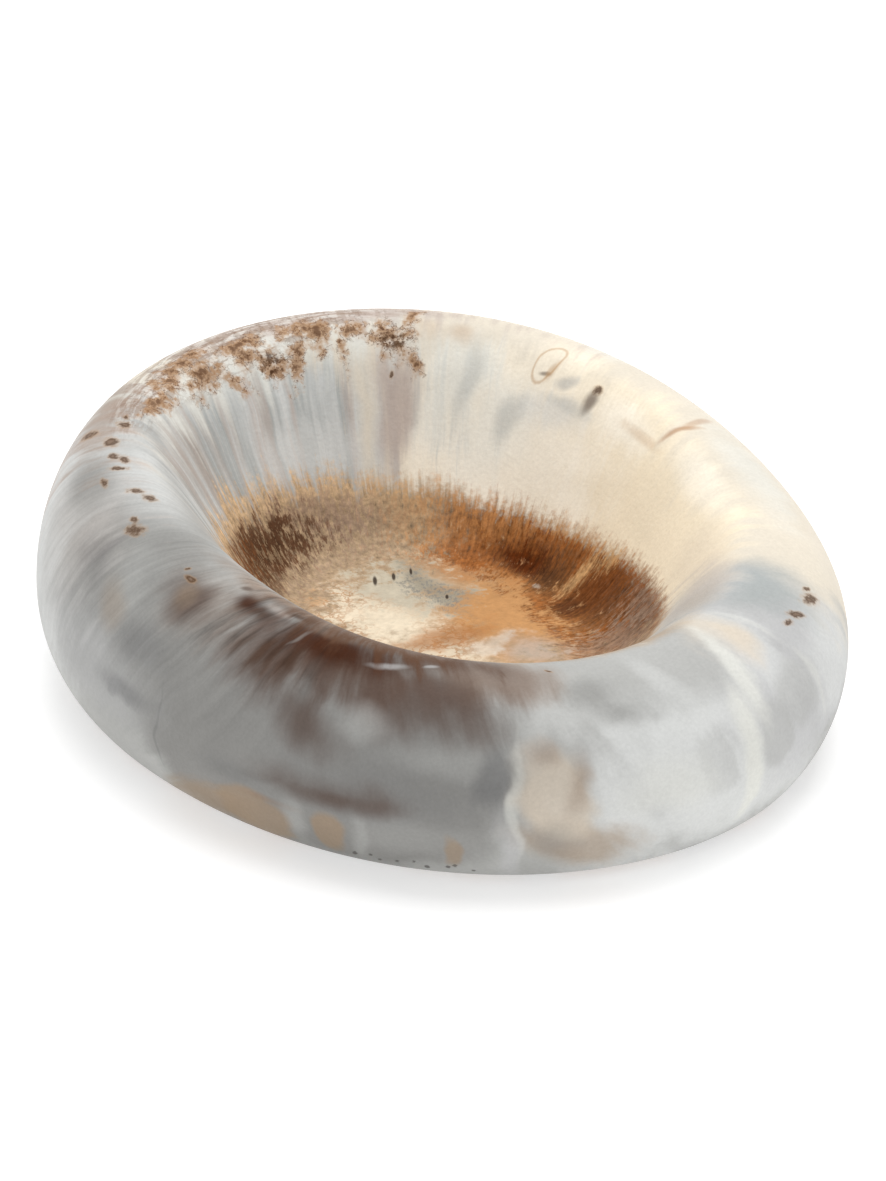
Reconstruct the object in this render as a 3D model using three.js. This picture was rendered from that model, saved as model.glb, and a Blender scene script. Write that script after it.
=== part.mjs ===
// A low oval catch-all dish: one thick resin casting whose rolled rim rises towards the rear end,
// standing on four clear stick-on bumpers. Millimetres, +Z up, +Y towards the tall end of the rim.
// The origin lies on the table, under the middle of the dish.
import * as THREE from 'three';

const { degToRad, smoothstep } = THREE.MathUtils;

// Outline of the casting, seen from above
const LENGTH = 170;
const WIDTH = 144;
// The front end is drawn out by this much, and the rear end is blunted by it
const END_TAPER = 1;

// Section of the casting; heights are measured from its ground base
const RIM_HEIGHT_REAR = 47.5;
const RIM_HEIGHT_FRONT = 33.5;
const BELLY_HEIGHT = 16;
const FLOOR_THICKNESS = 10;
// Insets are measured inwards from the outline
const CREST_INSET = 19.5;
const BASE_INSET = 5.5;
// Level distance from the rim's crest to the foot of the well's wall
const WALL_RUN_ENDS = 34;
const WALL_RUN_SIDES = 30;
// How far round its arc the side has curled under where the ground base cuts it
const BASE_TURN = degToRad(45);

// Clear bumpers under the base
const BUMPER_DIAMETER = 10;
const BUMPER_HEIGHT = 1.6;
const BUMPER_EDGE_RADIUS = 0.8;
// From the edge of the ground base to a bumper's centre
const BUMPER_INSET = 14;
// Off the long axis, towards each side
const BUMPER_BEARING = degToRad(45);

// Facets
const TURN_STEPS = 96;
const UNDERCUT_STEPS = 6;
const SHOULDER_STEPS = 9;
const WALL_STEPS = 12;
const BUMPER_TURN_STEPS = 32;
const BUMPER_EDGE_STEPS = 4;

const MEAN_RADIUS = (LENGTH + WIDTH) / 4;
const OVAL_SWING = (LENGTH - WIDTH) / 4;
const MEAN_RIM_HEIGHT = (RIM_HEIGHT_REAR + RIM_HEIGHT_FRONT) / 2;
const RIM_SWING = (RIM_HEIGHT_REAR - RIM_HEIGHT_FRONT) / 2;
const MEAN_WALL_RUN = (WALL_RUN_ENDS + WALL_RUN_SIDES) / 2;
const WALL_RUN_SWING = (WALL_RUN_ENDS - WALL_RUN_SIDES) / 2;

// Bearings are measured from the rear end, +Y, towards +X
function outlineRadius(bearing) {
  return MEAN_RADIUS + OVAL_SWING * Math.cos(2 * bearing) - END_TAPER * Math.cos(3 * bearing);
}

// How much higher than its mean the rim stands
function rimLift(bearing) {
  return RIM_SWING * Math.cos(bearing);
}

// How much further in than its mean the well's wall runs
function wallStretch(bearing) {
  return WALL_RUN_SWING * Math.cos(2 * bearing);
}

// The taper pushes the outline forwards, so the casting is set back to keep the origin under its middle
function placeOnBearing(bearing, radius, height) {
  const x = radius * Math.sin(bearing);
  const y = radius * Math.cos(bearing) + END_TAPER;
  return new THREE.Vector3(x, y, height + BUMPER_HEIGHT);
}

// Stations of the section of a round dish of the mean radius and rim height, from the middle of the base,
// round the outside and over the rim, to the middle of the well. Lift is a station's share in the rim's rise,
// and stretch its share in the change of the wall's run.
function castingStations() {
  const stations = [{ radius: 0, height: 0, lift: 0, stretch: 0 }];
  for (let i = 0; i < UNDERCUT_STEPS; i++) {
    const turn = BASE_TURN * (1 - i / UNDERCUT_STEPS);
    const inset = BASE_INSET * (1 - Math.cos(turn)) / (1 - Math.cos(BASE_TURN));
    const height = BELLY_HEIGHT * (1 - Math.sin(turn) / Math.sin(BASE_TURN));
    stations.push({ radius: MEAN_RADIUS - inset, height, lift: 0, stretch: 0 });
  }
  for (let i = 0; i < SHOULDER_STEPS; i++) {
    const turn = (Math.PI / 2) * (i / SHOULDER_STEPS);
    const inset = CREST_INSET * (1 - Math.cos(turn));
    const lift = Math.sin(turn);
    const height = BELLY_HEIGHT + (MEAN_RIM_HEIGHT - BELLY_HEIGHT) * lift;
    stations.push({ radius: MEAN_RADIUS - inset, height, lift, stretch: 0 });
  }
  for (let i = 0; i <= WALL_STEPS; i++) {
    const stretch = i / WALL_STEPS;
    const inset = CREST_INSET + MEAN_WALL_RUN * stretch;
    const lift = smoothstep(WALL_STEPS - i, 0, WALL_STEPS);
    const height = FLOOR_THICKNESS + (MEAN_RIM_HEIGHT - FLOOR_THICKNESS) * lift;
    stations.push({ radius: MEAN_RADIUS - inset, height, lift, stretch });
  }
  stations.push({ radius: 0, height: FLOOR_THICKNESS, lift: 0, stretch: 0 });
  return stations;
}

// The section is turned once round, and each vertex is then carried out to the oval outline and up to the
// rim's height on its own bearing.
function castingGeometry() {
  const stations = castingStations();
  const section = stations.map(({ radius, height }) => new THREE.Vector2(radius, height));
  const geometry = new THREE.LatheGeometry(section, TURN_STEPS);
  geometry.rotateX(Math.PI / 2);
  const position = geometry.attributes.position;
  for (let i = 0; i < position.count; i++) {
    const { radius, height, lift, stretch } = stations[i % stations.length];
    const bearing = Math.atan2(position.getX(i), position.getY(i));
    const spread = outlineRadius(bearing) - MEAN_RADIUS - stretch * wallStretch(bearing);
    const reach = radius > 0 ? radius + spread : 0;
    const point = placeOnBearing(bearing, reach, height + lift * rimLift(bearing));
    position.setXYZ(i, point.x, point.y, point.z);
  }
  geometry.computeVertexNormals();
  return geometry;
}

// A flat disc, stuck on by its upper face, whose lower edge is rounded
function bumperGeometry() {
  const radius = BUMPER_DIAMETER / 2;
  const section = [new THREE.Vector2(0, 0)];
  for (let i = 0; i <= BUMPER_EDGE_STEPS; i++) {
    const turn = (Math.PI / 2) * (i / BUMPER_EDGE_STEPS);
    const inset = BUMPER_EDGE_RADIUS * (1 - Math.sin(turn));
    const height = BUMPER_EDGE_RADIUS * (1 - Math.cos(turn));
    section.push(new THREE.Vector2(radius - inset, height));
  }
  section.push(new THREE.Vector2(radius, BUMPER_HEIGHT));
  section.push(new THREE.Vector2(0, BUMPER_HEIGHT));
  return new THREE.LatheGeometry(section, BUMPER_TURN_STEPS).rotateX(Math.PI / 2);
}

const resin = new THREE.MeshStandardMaterial({ color: 0xcfc4b6, roughness: 0.42, metalness: 0 });
const clearRubber = new THREE.MeshStandardMaterial({ color: 0xdfe3e2, roughness: 0.3, metalness: 0 });

const group = new THREE.Group();

const casting = new THREE.Mesh(castingGeometry(), resin);
casting.name = 'dish_casting';
group.add(casting);

const bumperPlaces = {
  bumper_rear_right: BUMPER_BEARING,
  bumper_front_right: Math.PI - BUMPER_BEARING,
  bumper_front_left: Math.PI + BUMPER_BEARING,
  bumper_rear_left: -BUMPER_BEARING,
};
for (const [name, bearing] of Object.entries(bumperPlaces)) {
  const bumper = new THREE.Mesh(bumperGeometry(), clearRubber.clone());
  bumper.name = name;
  const reach = outlineRadius(bearing) - BASE_INSET - BUMPER_INSET;
  bumper.position.copy(placeOnBearing(bearing, reach, -BUMPER_HEIGHT));
  group.add(bumper);
}

export default group;
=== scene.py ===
# %% [markdown]
# A catch-all dish in marbled resin
#
# The real object is one thick, hand-finished casting: a low oval dish whose rolled rim rises to the rear,
# with a deep well in the middle. Its colours were poured together while the resin was wet, so they run
# with the form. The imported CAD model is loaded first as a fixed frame. It gives the size and the place of
# every piece.

# %% Load the frame
import math
import bmesh
import bpy
from mathutils import Color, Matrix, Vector


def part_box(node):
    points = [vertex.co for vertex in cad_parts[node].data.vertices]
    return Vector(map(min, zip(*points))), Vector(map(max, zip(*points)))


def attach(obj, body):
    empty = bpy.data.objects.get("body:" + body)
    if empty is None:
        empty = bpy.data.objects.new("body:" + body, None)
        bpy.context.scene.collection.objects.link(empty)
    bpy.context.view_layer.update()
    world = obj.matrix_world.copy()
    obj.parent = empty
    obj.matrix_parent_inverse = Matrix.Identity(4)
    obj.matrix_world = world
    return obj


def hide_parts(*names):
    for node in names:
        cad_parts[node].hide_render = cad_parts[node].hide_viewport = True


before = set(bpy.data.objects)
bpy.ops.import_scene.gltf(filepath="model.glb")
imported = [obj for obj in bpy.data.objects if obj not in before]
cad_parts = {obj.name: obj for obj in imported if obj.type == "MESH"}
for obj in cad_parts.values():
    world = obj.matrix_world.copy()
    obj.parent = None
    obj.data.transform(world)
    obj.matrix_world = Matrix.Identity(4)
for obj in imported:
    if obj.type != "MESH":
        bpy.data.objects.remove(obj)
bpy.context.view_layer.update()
MM = 0.001
print("CAD nodes:", ", ".join(sorted(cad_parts)))

# %% [markdown]
# Camera
#
# The photograph looks down on the dish from its front left. A long lens keeps the oval nearly
# undistorted. The camera could be turned by angles, but it is placed by its eye and the point that it
# aims at.

# %% Set up the camera
LENS_MM = 143.585
SENSOR_MM = 36
CAMERA_EYE = Vector((-409.62, -679.194, 421.74)) * MM
CAMERA_AIM = Vector((-2.215, -3.185, 21.183)) * MM


def aimed(place, target):
    """The rotation that points a camera or a light from its place at a target."""
    return (target - place).to_track_quat("-Z", "Y").to_euler()


camera_data = bpy.data.cameras.new("camera")
camera_data.sensor_fit = "VERTICAL"
camera_data.sensor_height = SENSOR_MM
camera_data.lens = LENS_MM
camera = bpy.data.objects.new("camera", camera_data)
camera.location = CAMERA_EYE
camera.rotation_euler = aimed(CAMERA_EYE, CAMERA_AIM)
bpy.context.scene.collection.objects.link(camera)
bpy.context.scene.camera = camera
print("camera stands", round((CAMERA_EYE - CAMERA_AIM).length, 3), "m from its aim")

# %% [markdown]
# Studio
#
# The dish stands in an even white studio: a pale sky that fills every shadow, one large soft light
# overhead that models the rim and the well, and a pale floor. A plain floor would come out grey, so it
# glows faintly.

# %% Lay the floor
FLOOR_SIZE = 12.0
FLOOR_GREY = 0.75
FLOOR_ROUGHNESS = 0.9
FLOOR_SHINE = 0.1
FLOOR_GLOW = 0.4


def principled(name):
    """A new material, with its node tree and its Principled shader."""
    material = bpy.data.materials.new(name)
    material.use_nodes = True
    return material, material.node_tree, material.node_tree.nodes["Principled BSDF"]


def object_from(name, bm):
    """An object at the origin that takes over the mesh in bm."""
    mesh = bpy.data.meshes.new(name)
    bm.to_mesh(mesh)
    bm.free()
    piece = bpy.data.objects.new(name, mesh)
    bpy.context.scene.collection.objects.link(piece)
    return piece


bm = bmesh.new()
bmesh.ops.create_grid(bm, x_segments=1, y_segments=1, size=FLOOR_SIZE / 2)
floor = object_from("studio_floor", bm)
floor_paint, _, floor_shader = principled("floor_paint")
floor_shader.inputs["Base Color"].default_value = (FLOOR_GREY, FLOOR_GREY, FLOOR_GREY, 1)
floor_shader.inputs["Roughness"].default_value = FLOOR_ROUGHNESS
floor_shader.inputs["Specular IOR Level"].default_value = FLOOR_SHINE
floor_shader.inputs["Emission Color"].default_value = (1, 1, 1, 1)
floor_shader.inputs["Emission Strength"].default_value = FLOOR_GLOW
floor.data.materials.append(floor_paint)
print("floor:", FLOOR_SIZE, "m square")

# %% Hang the lights
SKY_STRENGTH = 0.75
KEY_POWER = 9.0
KEY_SIZE = 0.9
KEY_PLACE = Vector((0.25, 0.25, 1.1))

sky = bpy.data.worlds.new("studio_sky")
sky.use_nodes = True
sky.node_tree.nodes["Background"].inputs["Color"].default_value = (1, 1, 1, 1)
sky.node_tree.nodes["Background"].inputs["Strength"].default_value = SKY_STRENGTH
bpy.context.scene.world = sky
bpy.context.scene.view_settings.view_transform = "Standard"

lamp = bpy.data.lights.new("overhead_softbox", "AREA")
lamp.size = KEY_SIZE
lamp.energy = KEY_POWER
light = bpy.data.objects.new("overhead_softbox", lamp)
light.location = KEY_PLACE
light.rotation_euler = aimed(KEY_PLACE, CAMERA_AIM)
bpy.context.scene.collection.objects.link(light)
print("sky", SKY_STRENGTH, "and overhead light", KEY_POWER, "W")

# %% [markdown]
# The casting
#
# The dish is round everywhere but on its base and its floor, and its section changes all the way round.
# It could be sculpted, but it has a clear rule, so one section is spun round the middle and each vertex
# is then carried out to the oval outline and up to the rim's height on its own bearing. Every vertex also
# keeps its run, which counts along the section, from the middle of the base to the middle of the well.

# %% Sizes of the casting
LENGTH = 170 * MM
WIDTH = 144 * MM
END_TAPER = 1 * MM
RIM_HEIGHT_REAR = 47.5 * MM
RIM_HEIGHT_FRONT = 33.5 * MM
BELLY_HEIGHT = 16 * MM
FLOOR_THICKNESS = 10 * MM
CREST_INSET = 19.5 * MM
BASE_INSET = 5.5 * MM
WALL_RUN_ENDS = 34 * MM
WALL_RUN_SIDES = 30 * MM
BASE_TURN = math.radians(45)
BASE_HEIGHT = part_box("dish_casting")[0].z

MEAN_RADIUS = (LENGTH + WIDTH) / 4
OVAL_SWING = (LENGTH - WIDTH) / 4
MEAN_RIM_HEIGHT = (RIM_HEIGHT_REAR + RIM_HEIGHT_FRONT) / 2
RIM_SWING = (RIM_HEIGHT_REAR - RIM_HEIGHT_FRONT) / 2
MEAN_WALL_RUN = (WALL_RUN_ENDS + WALL_RUN_SIDES) / 2
WALL_RUN_SWING = (WALL_RUN_ENDS - WALL_RUN_SIDES) / 2
print("casting:", round(LENGTH / MM), "by", round(WIDTH / MM), "mm")

# %% Section of the casting
# Runs at which the section changes its form
BASE_EDGE = 1
BELLY = 2
CREST = 3
WALL_FOOT = 4
WELL_MIDDLE = 5

BASE_STEPS = 14
UNDERCUT_STEPS = 18
SHOULDER_STEPS = 28
WALL_STEPS = 34
FLOOR_STEPS = 20
TURN_STEPS = 320
BASE_EDGE_ROUND = 0.5 * MM
BASE_EDGE_STEPS = 3
MERGE_DISTANCE = 0.001 * MM


def wall_share(run):
    """How much of the rim's height is left on the well's wall: 1 at the crest and 0 at the wall's foot."""
    left = min(max(WALL_FOOT - run, 0), 1)
    return left * left * (3 - 2 * left)


def section_point(run):
    """Distance from the axis and height above the base on the section of a round dish of the mean sizes."""
    if run < BASE_EDGE:
        return run * (MEAN_RADIUS - BASE_INSET), 0
    if run < BELLY:
        turn = BASE_TURN * (BELLY - run)
        inset = BASE_INSET * (1 - math.cos(turn)) / (1 - math.cos(BASE_TURN))
        return MEAN_RADIUS - inset, BELLY_HEIGHT * (1 - math.sin(turn) / math.sin(BASE_TURN))
    if run < CREST:
        turn = math.pi / 2 * (run - BELLY)
        height = BELLY_HEIGHT + (MEAN_RIM_HEIGHT - BELLY_HEIGHT) * math.sin(turn)
        return MEAN_RADIUS - CREST_INSET * (1 - math.cos(turn)), height
    if run < WALL_FOOT:
        height = FLOOR_THICKNESS + (MEAN_RIM_HEIGHT - FLOOR_THICKNESS) * wall_share(run)
        return MEAN_RADIUS - CREST_INSET - MEAN_WALL_RUN * (run - CREST), height
    return (WELL_MIDDLE - run) * (MEAN_RADIUS - CREST_INSET - MEAN_WALL_RUN), FLOOR_THICKNESS


def carried(point, run):
    """Where a point of the round dish lies on the oval one, with its rim raised towards the rear."""
    bearing = math.atan2(point.x, point.y)
    radius = math.hypot(point.x, point.y)
    spread = OVAL_SWING * math.cos(2 * bearing) - END_TAPER * math.cos(3 * bearing)
    stretch = WALL_RUN_SWING * math.cos(2 * bearing) * min(max(run - CREST, 0), 1)
    edge_radius = section_point(min(max(run, BASE_EDGE), WALL_FOOT))[0]
    on_a_flat = run < BASE_EDGE or run > WALL_FOOT
    reach = radius * (1 + (spread - stretch) / edge_radius) if on_a_flat else radius + spread - stretch
    lift = math.sin(math.pi / 2 * min(max(run - BELLY, 0), 1)) if run < CREST else wall_share(run)
    height = point.z + lift * RIM_SWING * math.cos(bearing)
    return Vector((reach * math.sin(bearing), reach * math.cos(bearing) + END_TAPER, height + BASE_HEIGHT))


# %% Spin the casting
bm = bmesh.new()
run_layer = bm.verts.layers.float.new("run")
stretches = (BASE_STEPS, UNDERCUT_STEPS, SHOULDER_STEPS, WALL_STEPS, FLOOR_STEPS)
section = []
for stretch, steps in enumerate(stretches):
    last = stretch == len(stretches) - 1
    for step in range(steps + last):
        run = stretch + step / steps
        radius, height = section_point(run)
        vertex = bm.verts.new((0, radius, height))
        vertex[run_layer] = run
        section.append(vertex)
rail = [bm.edges.new(pair) for pair in zip(section, section[1:])]
bmesh.ops.spin(
    bm, geom=section + rail, cent=(0, 0, 0), axis=(0, 0, 1), angle=math.tau, steps=TURN_STEPS, use_merge=True
)
bmesh.ops.remove_doubles(bm, verts=bm.verts, dist=MERGE_DISTANCE)
base_edge = [e for e in bm.edges if all(v[run_layer] == BASE_EDGE for v in e.verts)]
bmesh.ops.bevel(
    bm, geom=base_edge, offset=BASE_EDGE_ROUND, affect="EDGES", segments=BASE_EDGE_STEPS, profile=0.5,
    material=-1,
)
for vertex in bm.verts:
    vertex.co = carried(vertex.co, vertex[run_layer])
bmesh.ops.recalc_face_normals(bm, faces=bm.faces)
for face in bm.faces:
    face.smooth = True
print("casting:", len(base_edge), "edges round its base,", len(bm.faces), "faces in all")
dish = object_from("marbled_dish", bm)

# %% [markdown]
# The marbled resin
#
# Thick coloured resins were poured into the mould one after another, and each ran a little before it set.
# Such a figure could be painted on an image, but it would blur close up. So it is rebuilt in the way that
# it came about: a ground colour first, and then pours of pigment, each with its own place, reach and
# softness. A pour lies at a bearing round the dish and at a run along the section, so it follows the
# form, over the rim and down into the well. Nothing is painted from a picture.

# %% Node helpers
class Wiring:
    """Adds nodes to one tree, inputs first. Each step gives back the output of the node that it added."""

    def __init__(self, tree):
        self.tree = tree

    def node(self, kind, **settings):
        """A new node with its settings."""
        made = self.tree.nodes.new(kind)
        for name, value in settings.items():
            setattr(made, name, value)
        return made

    def feed(self, socket, value):
        """Links an output to a socket, or sets the socket to a plain value."""
        if isinstance(value, bpy.types.NodeSocket):
            self.tree.links.new(value, socket)
        else:
            socket.default_value = value

    def calc(self, operation, *terms):
        """One step of arithmetic."""
        made = self.node("ShaderNodeMath", operation=operation)
        for socket, term in zip(made.inputs, terms):
            self.feed(socket, term)
        return made.outputs[0]

    def ease(self, value, start, end):
        """0 up to start and 1 from end on, with a smooth step between them."""
        made = self.node("ShaderNodeMapRange", interpolation_type="SMOOTHSTEP")
        for name, given in (("Value", value), ("From Min", start), ("From Max", end)):
            self.feed(made.inputs[name], given)
        return made.outputs["Result"]

    def window(self, value, start, full, wane, end):
        """1 from full to wane, easing to 0 at start and at end."""
        return self.calc("MULTIPLY", self.ease(value, start, full), self.ease(value, end, wane))

    def blend(self, under, over, share):
        """One colour laid over another by a share."""
        made = self.node("ShaderNodeMix", data_type="RGBA")
        for place, given in ((0, share), (6, under), (7, over)):
            self.feed(made.inputs[place], given)
        return made.outputs[2]

    def veil(self, under, over, mask, strength):
        """One colour laid over another where a mask shows, with the mask weakened to a strength."""
        return self.blend(under, over, self.calc("MULTIPLY", mask, strength))

    def shade(self, colour, signed, depth):
        """A colour made lighter or darker by a signed value, at most by about the given depth."""
        scale = self.calc("MULTIPLY_ADD", signed, depth, 1)
        grey = self.node("ShaderNodeCombineColor")
        for socket in grey.inputs:
            self.feed(socket, scale)
        made = self.node("ShaderNodeMix", data_type="RGBA", blend_type="MULTIPLY")
        made.inputs[0].default_value = 1
        self.feed(made.inputs[6], colour)
        self.feed(made.inputs[7], grey.outputs[0])
        return made.outputs[2]

    def vector(self, x, y, z=0.0):
        """Three numbers joined into a vector."""
        made = self.node("ShaderNodeCombineXYZ")
        for socket, given in zip(made.inputs, (x, y, z)):
            self.feed(socket, given)
        return made.outputs[0]

    def noise(self, vector, scale, detail=2.0, roughness=0.5, output=0):
        """Signed noise, mostly between -0.5 and 0.5; output 1 gives three of them as a colour."""
        made = self.node("ShaderNodeTexNoise", normalize=False)
        given = {"Vector": vector, "Scale": scale, "Detail": detail, "Roughness": roughness}
        for name, value in given.items():
            self.feed(made.inputs[name], value)
        return made.outputs[output]

    def group(self, tree, **given):
        """A node group, with its inputs given by name."""
        made = self.node("ShaderNodeGroup", node_tree=tree)
        for name, value in given.items():
            self.feed(made.inputs[name.replace("_", " ").title()], value)
        return made.outputs[0]


def new_group(name, numbers, colours, outlet):
    """An empty node group with its wiring, its inputs by name and the socket that its result goes to."""
    tree = bpy.data.node_groups.new(name, "ShaderNodeTree")
    for inlet in colours:
        tree.interface.new_socket(name=inlet, in_out="INPUT", socket_type="NodeSocketColor")
    for inlet in numbers:
        tree.interface.new_socket(name=inlet, in_out="INPUT", socket_type="NodeSocketFloat")
    kind = "NodeSocketColor" if colours else "NodeSocketFloat"
    tree.interface.new_socket(name=outlet, in_out="OUTPUT", socket_type=kind)
    start = tree.nodes.new("NodeGroupInput")
    end = tree.nodes.new("NodeGroupOutput")
    return tree, Wiring(tree), start.outputs, end.inputs[0]


# %% [markdown]
# A pour spreads as an oval that leans with the flow. Its edge is torn in two ways: into wisps, where the
# resin was drawn along the form, and into curds, where two resins did not mix. The oval's distance is a
# group of its own, because spots and knots of pigment use it too. It is 0 in the middle of the oval and 1
# on its edge.

# %% Groups for ovals and pours
OVAL = ("Bearing", "Run", "At Bearing", "At Run", "Half Bearing", "Half Run", "Lean")
oval_group, wire, given, result = new_group("oval", OVAL, (), "Distance")
off_run = wire.calc("SUBTRACT", given["Run"], given["At Run"])
off_bearing = wire.calc("WRAP", wire.calc("SUBTRACT", given["Bearing"], given["At Bearing"]), 180, -180)
off_bearing = wire.calc("SUBTRACT", off_bearing, wire.calc("MULTIPLY", given["Lean"], off_run))
share_run = wire.calc("DIVIDE", off_run, given["Half Run"])
share_bearing = wire.calc("DIVIDE", off_bearing, given["Half Bearing"])
square = wire.calc("MULTIPLY", share_bearing, share_bearing)
square = wire.calc("MULTIPLY_ADD", share_run, share_run, square)
wire.feed(result, wire.calc("SQRT", square))

TEAR = ("Wisp", "Curd", "Wisp Share", "Curd Share", "Soft", "Strength")
pour_group, wire, given, result = new_group("pour", OVAL + TEAR, ("Under", "Pigment"), "Color")
distance = wire.node("ShaderNodeGroup", node_tree=oval_group)
for name in OVAL:
    wire.feed(distance.inputs[name], given[name])
torn = wire.calc("MULTIPLY", given["Wisp"], given["Wisp Share"])
torn = wire.calc("MULTIPLY_ADD", given["Curd"], given["Curd Share"], torn)
torn = wire.calc("SUBTRACT", distance.outputs[0], torn)
cover = wire.ease(torn, wire.calc("ADD", 1, given["Soft"]), wire.calc("SUBTRACT", 1, given["Soft"]))
cover = wire.calc("MULTIPLY", cover, given["Strength"])
wire.feed(result, wire.blend(given["Under"], given["Pigment"], cover))
print("pour group:", len(pour_group.nodes), "nodes")

# %% [markdown]
# The resin takes its bearing from its own place on the dish, and its run from the mesh. Streaks were
# drawn aside as the mould was tilted, so the flow leans one way at the rear left and the other way at the
# front right, and more where it spilled over the left. A slow cloud of noise lets every edge drift, and
# the fibres of the flow fray it. A second pair of fields, in millimetres across and along, serves the
# flat floor.

# %% Fields on the dish
DRIFT_DEGREES = 3.0
DRIFT_RUN = 0.06
DRIFT_MM = 5.0
FLOW_LEAN = 10
LEAN_BEARING = -40
SWAY_DEGREES = 1.2
FRAY_DEGREES = 0.2
FRAY_RUN = 0.005

resin, resin_tree, resin_shader = principled("marbled_resin")
wire = Wiring(resin_tree)

place = wire.node("ShaderNodeTexCoord").outputs["Object"]
axes = wire.node("ShaderNodeSeparateXYZ")
wire.feed(axes.inputs[0], place)
true_bearing = wire.calc("ARCTAN2", axes.outputs["X"], wire.calc("SUBTRACT", axes.outputs["Y"], END_TAPER))
true_bearing = wire.calc("DEGREES", true_bearing)
true_run = wire.node("ShaderNodeAttribute", attribute_name="run").outputs["Fac"]

slow_cloud = wire.noise(place, 40, 3, output=1)
drift = wire.node("ShaderNodeSeparateColor")
wire.feed(drift.inputs[0], slow_cloud)
bearing = wire.calc("MULTIPLY_ADD", drift.outputs[0], DRIFT_DEGREES, true_bearing)
run = wire.calc("MULTIPLY_ADD", drift.outputs[1], DRIFT_RUN, true_run)
true_x = wire.calc("DIVIDE", axes.outputs["X"], MM)
true_y = wire.calc("DIVIDE", axes.outputs["Y"], MM)
floor_x = wire.calc("MULTIPLY_ADD", drift.outputs[0], DRIFT_MM, true_x)
floor_y = wire.calc("MULTIPLY_ADD", drift.outputs[1], DRIFT_MM, true_y)

sway = wire.calc("COSINE", wire.calc("RADIANS", wire.calc("ADD", true_bearing, -LEAN_BEARING)))
spill = wire.window(true_bearing, -140, -108, -100, -60)
sway = wire.calc("MULTIPLY", wire.calc("ADD", sway, spill), FLOW_LEAN)
sway = wire.calc("MULTIPLY", sway, wire.calc("SUBTRACT", true_run, CREST))
sway = wire.calc("MULTIPLY_ADD", drift.outputs[2], SWAY_DEGREES, sway)
flow = wire.calc("RADIANS", wire.calc("ADD", true_bearing, sway))
flow_sine = wire.calc("SINE", flow)
flow_cosine = wire.calc("COSINE", flow)


def fibres(width, length, detail=3.0, roughness=0.55, apart=0.0):
    """Noise drawn out along the flow: so many degrees wide, and so long along the run."""
    per_degree = math.degrees(1) / width
    across = wire.calc("MULTIPLY_ADD", flow_sine, per_degree, apart)
    along = wire.calc("MULTIPLY", flow_cosine, per_degree)
    down = wire.calc("DIVIDE", true_run, length)
    return wire.noise(wire.vector(across, along, down), 1, detail, roughness)


wisp = fibres(3.0, 0.6, 4, 0.6)
bearing = wire.calc("MULTIPLY_ADD", wisp, FRAY_DEGREES, bearing)
run = wire.calc("MULTIPLY_ADD", wisp, FRAY_RUN, run)
comb = fibres(1.3, 1.1, 4, 0.65, apart=60)
hair = fibres(1.3, 0.055, 4, 0.75, apart=20)
bristle = fibres(1.2, 0.4, 4, 0.65, apart=80)
ripple = fibres(1.7, 0.45, 3, 0.6, apart=120)
tuft = fibres(5, 0.6, 3, 0.6, apart=100)
billow = wire.noise(place, 70, 3, 0.5)
curd = wire.noise(place, 260, 4, 0.6)
crumb = wire.noise(place, 800, 4, 0.65)
grain = wire.noise(place, 1500, 2, 0.6)

on_dish = (true_bearing, true_run)
in_flow = (bearing, run)
on_floor = (true_x, true_y)
on_bed = (floor_x, floor_y)
print("fields:", len(resin_tree.nodes), "nodes")

# %% Pigments
def pigment(red, green, blue):
    """A colour in the scene's own linear light, from the usual 8-bit values."""
    return [*Color((red / 255, green / 255, blue / 255)).from_srgb_to_scene_linear(), 1]


IVORY = pigment(220, 211, 195)
BUTTER = pigment(242, 227, 200)
CREAM = pigment(216, 202, 182)
WHITE = pigment(220, 220, 213)
PALE = pigment(212, 213, 211)
MIST = pigment(190, 190, 190)
DOVE = pigment(174, 174, 171)
BLUE_GREY = pigment(166, 170, 169)
ASH = pigment(140, 139, 136)
SLATE = pigment(110, 110, 110)
LILAC = pigment(186, 172, 163)
MAUVE = pigment(92, 76, 68)
TAUPE = pigment(142, 120, 103)
TAN = pigment(156, 136, 114)
PEACH = pigment(202, 190, 174)
UMBER = pigment(66, 42, 26)
WALNUT = pigment(92, 62, 42)
CHESTNUT = pigment(62, 28, 5)
CHOCOLATE = pigment(84, 38, 6)
RUST = pigment(146, 88, 43)
CARAMEL = pigment(166, 113, 66)
AMBER = pigment(184, 144, 99)
SAND = pigment(190, 142, 94)
BEIGE = pigment(176, 152, 124)
BONE = pigment(226, 212, 188)
MILK = pigment(249, 241, 225)
CHALK = pigment(228, 229, 222)
LACE_STAIN = pigment(190, 162, 138)
LACE_BROWN = pigment(164, 125, 86)
STONE = pigment(142, 135, 120)
LICHEN = pigment(186, 177, 158)
FLAX = pigment(200, 170, 134)
INK = pigment(40, 28, 22)

# %% Ways of pouring
# A distance that is larger than any on the dish
FAR = 9.0


def pour_on(fields, tears, under, colour, at, half, strength, soft, lean):
    """Pours a pigment over the figure so far. Tears are two pairs of a noise and its share in the edge."""
    (wisps, wisp_share), (curds, curd_share) = tears
    return wire.group(
        pour_group, under=under, pigment=colour, bearing=fields[0], run=fields[1], at_bearing=at[0],
        at_run=at[1], half_bearing=half[0], half_run=half[1], lean=lean, wisp=wisps, curd=curds,
        wisp_share=wisp_share, curd_share=curd_share, soft=soft, strength=strength,
    )


def pour(under, colour, at, half, strength=1.0, soft=0.7, lean=0.0, wisps=0.25, billows=0.35):
    """Pours a pigment at a bearing and a run."""
    tears = (wisp, wisps), (billow, billows)
    return pour_on(in_flow, tears, under, colour, at, half, strength, soft, lean)


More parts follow.
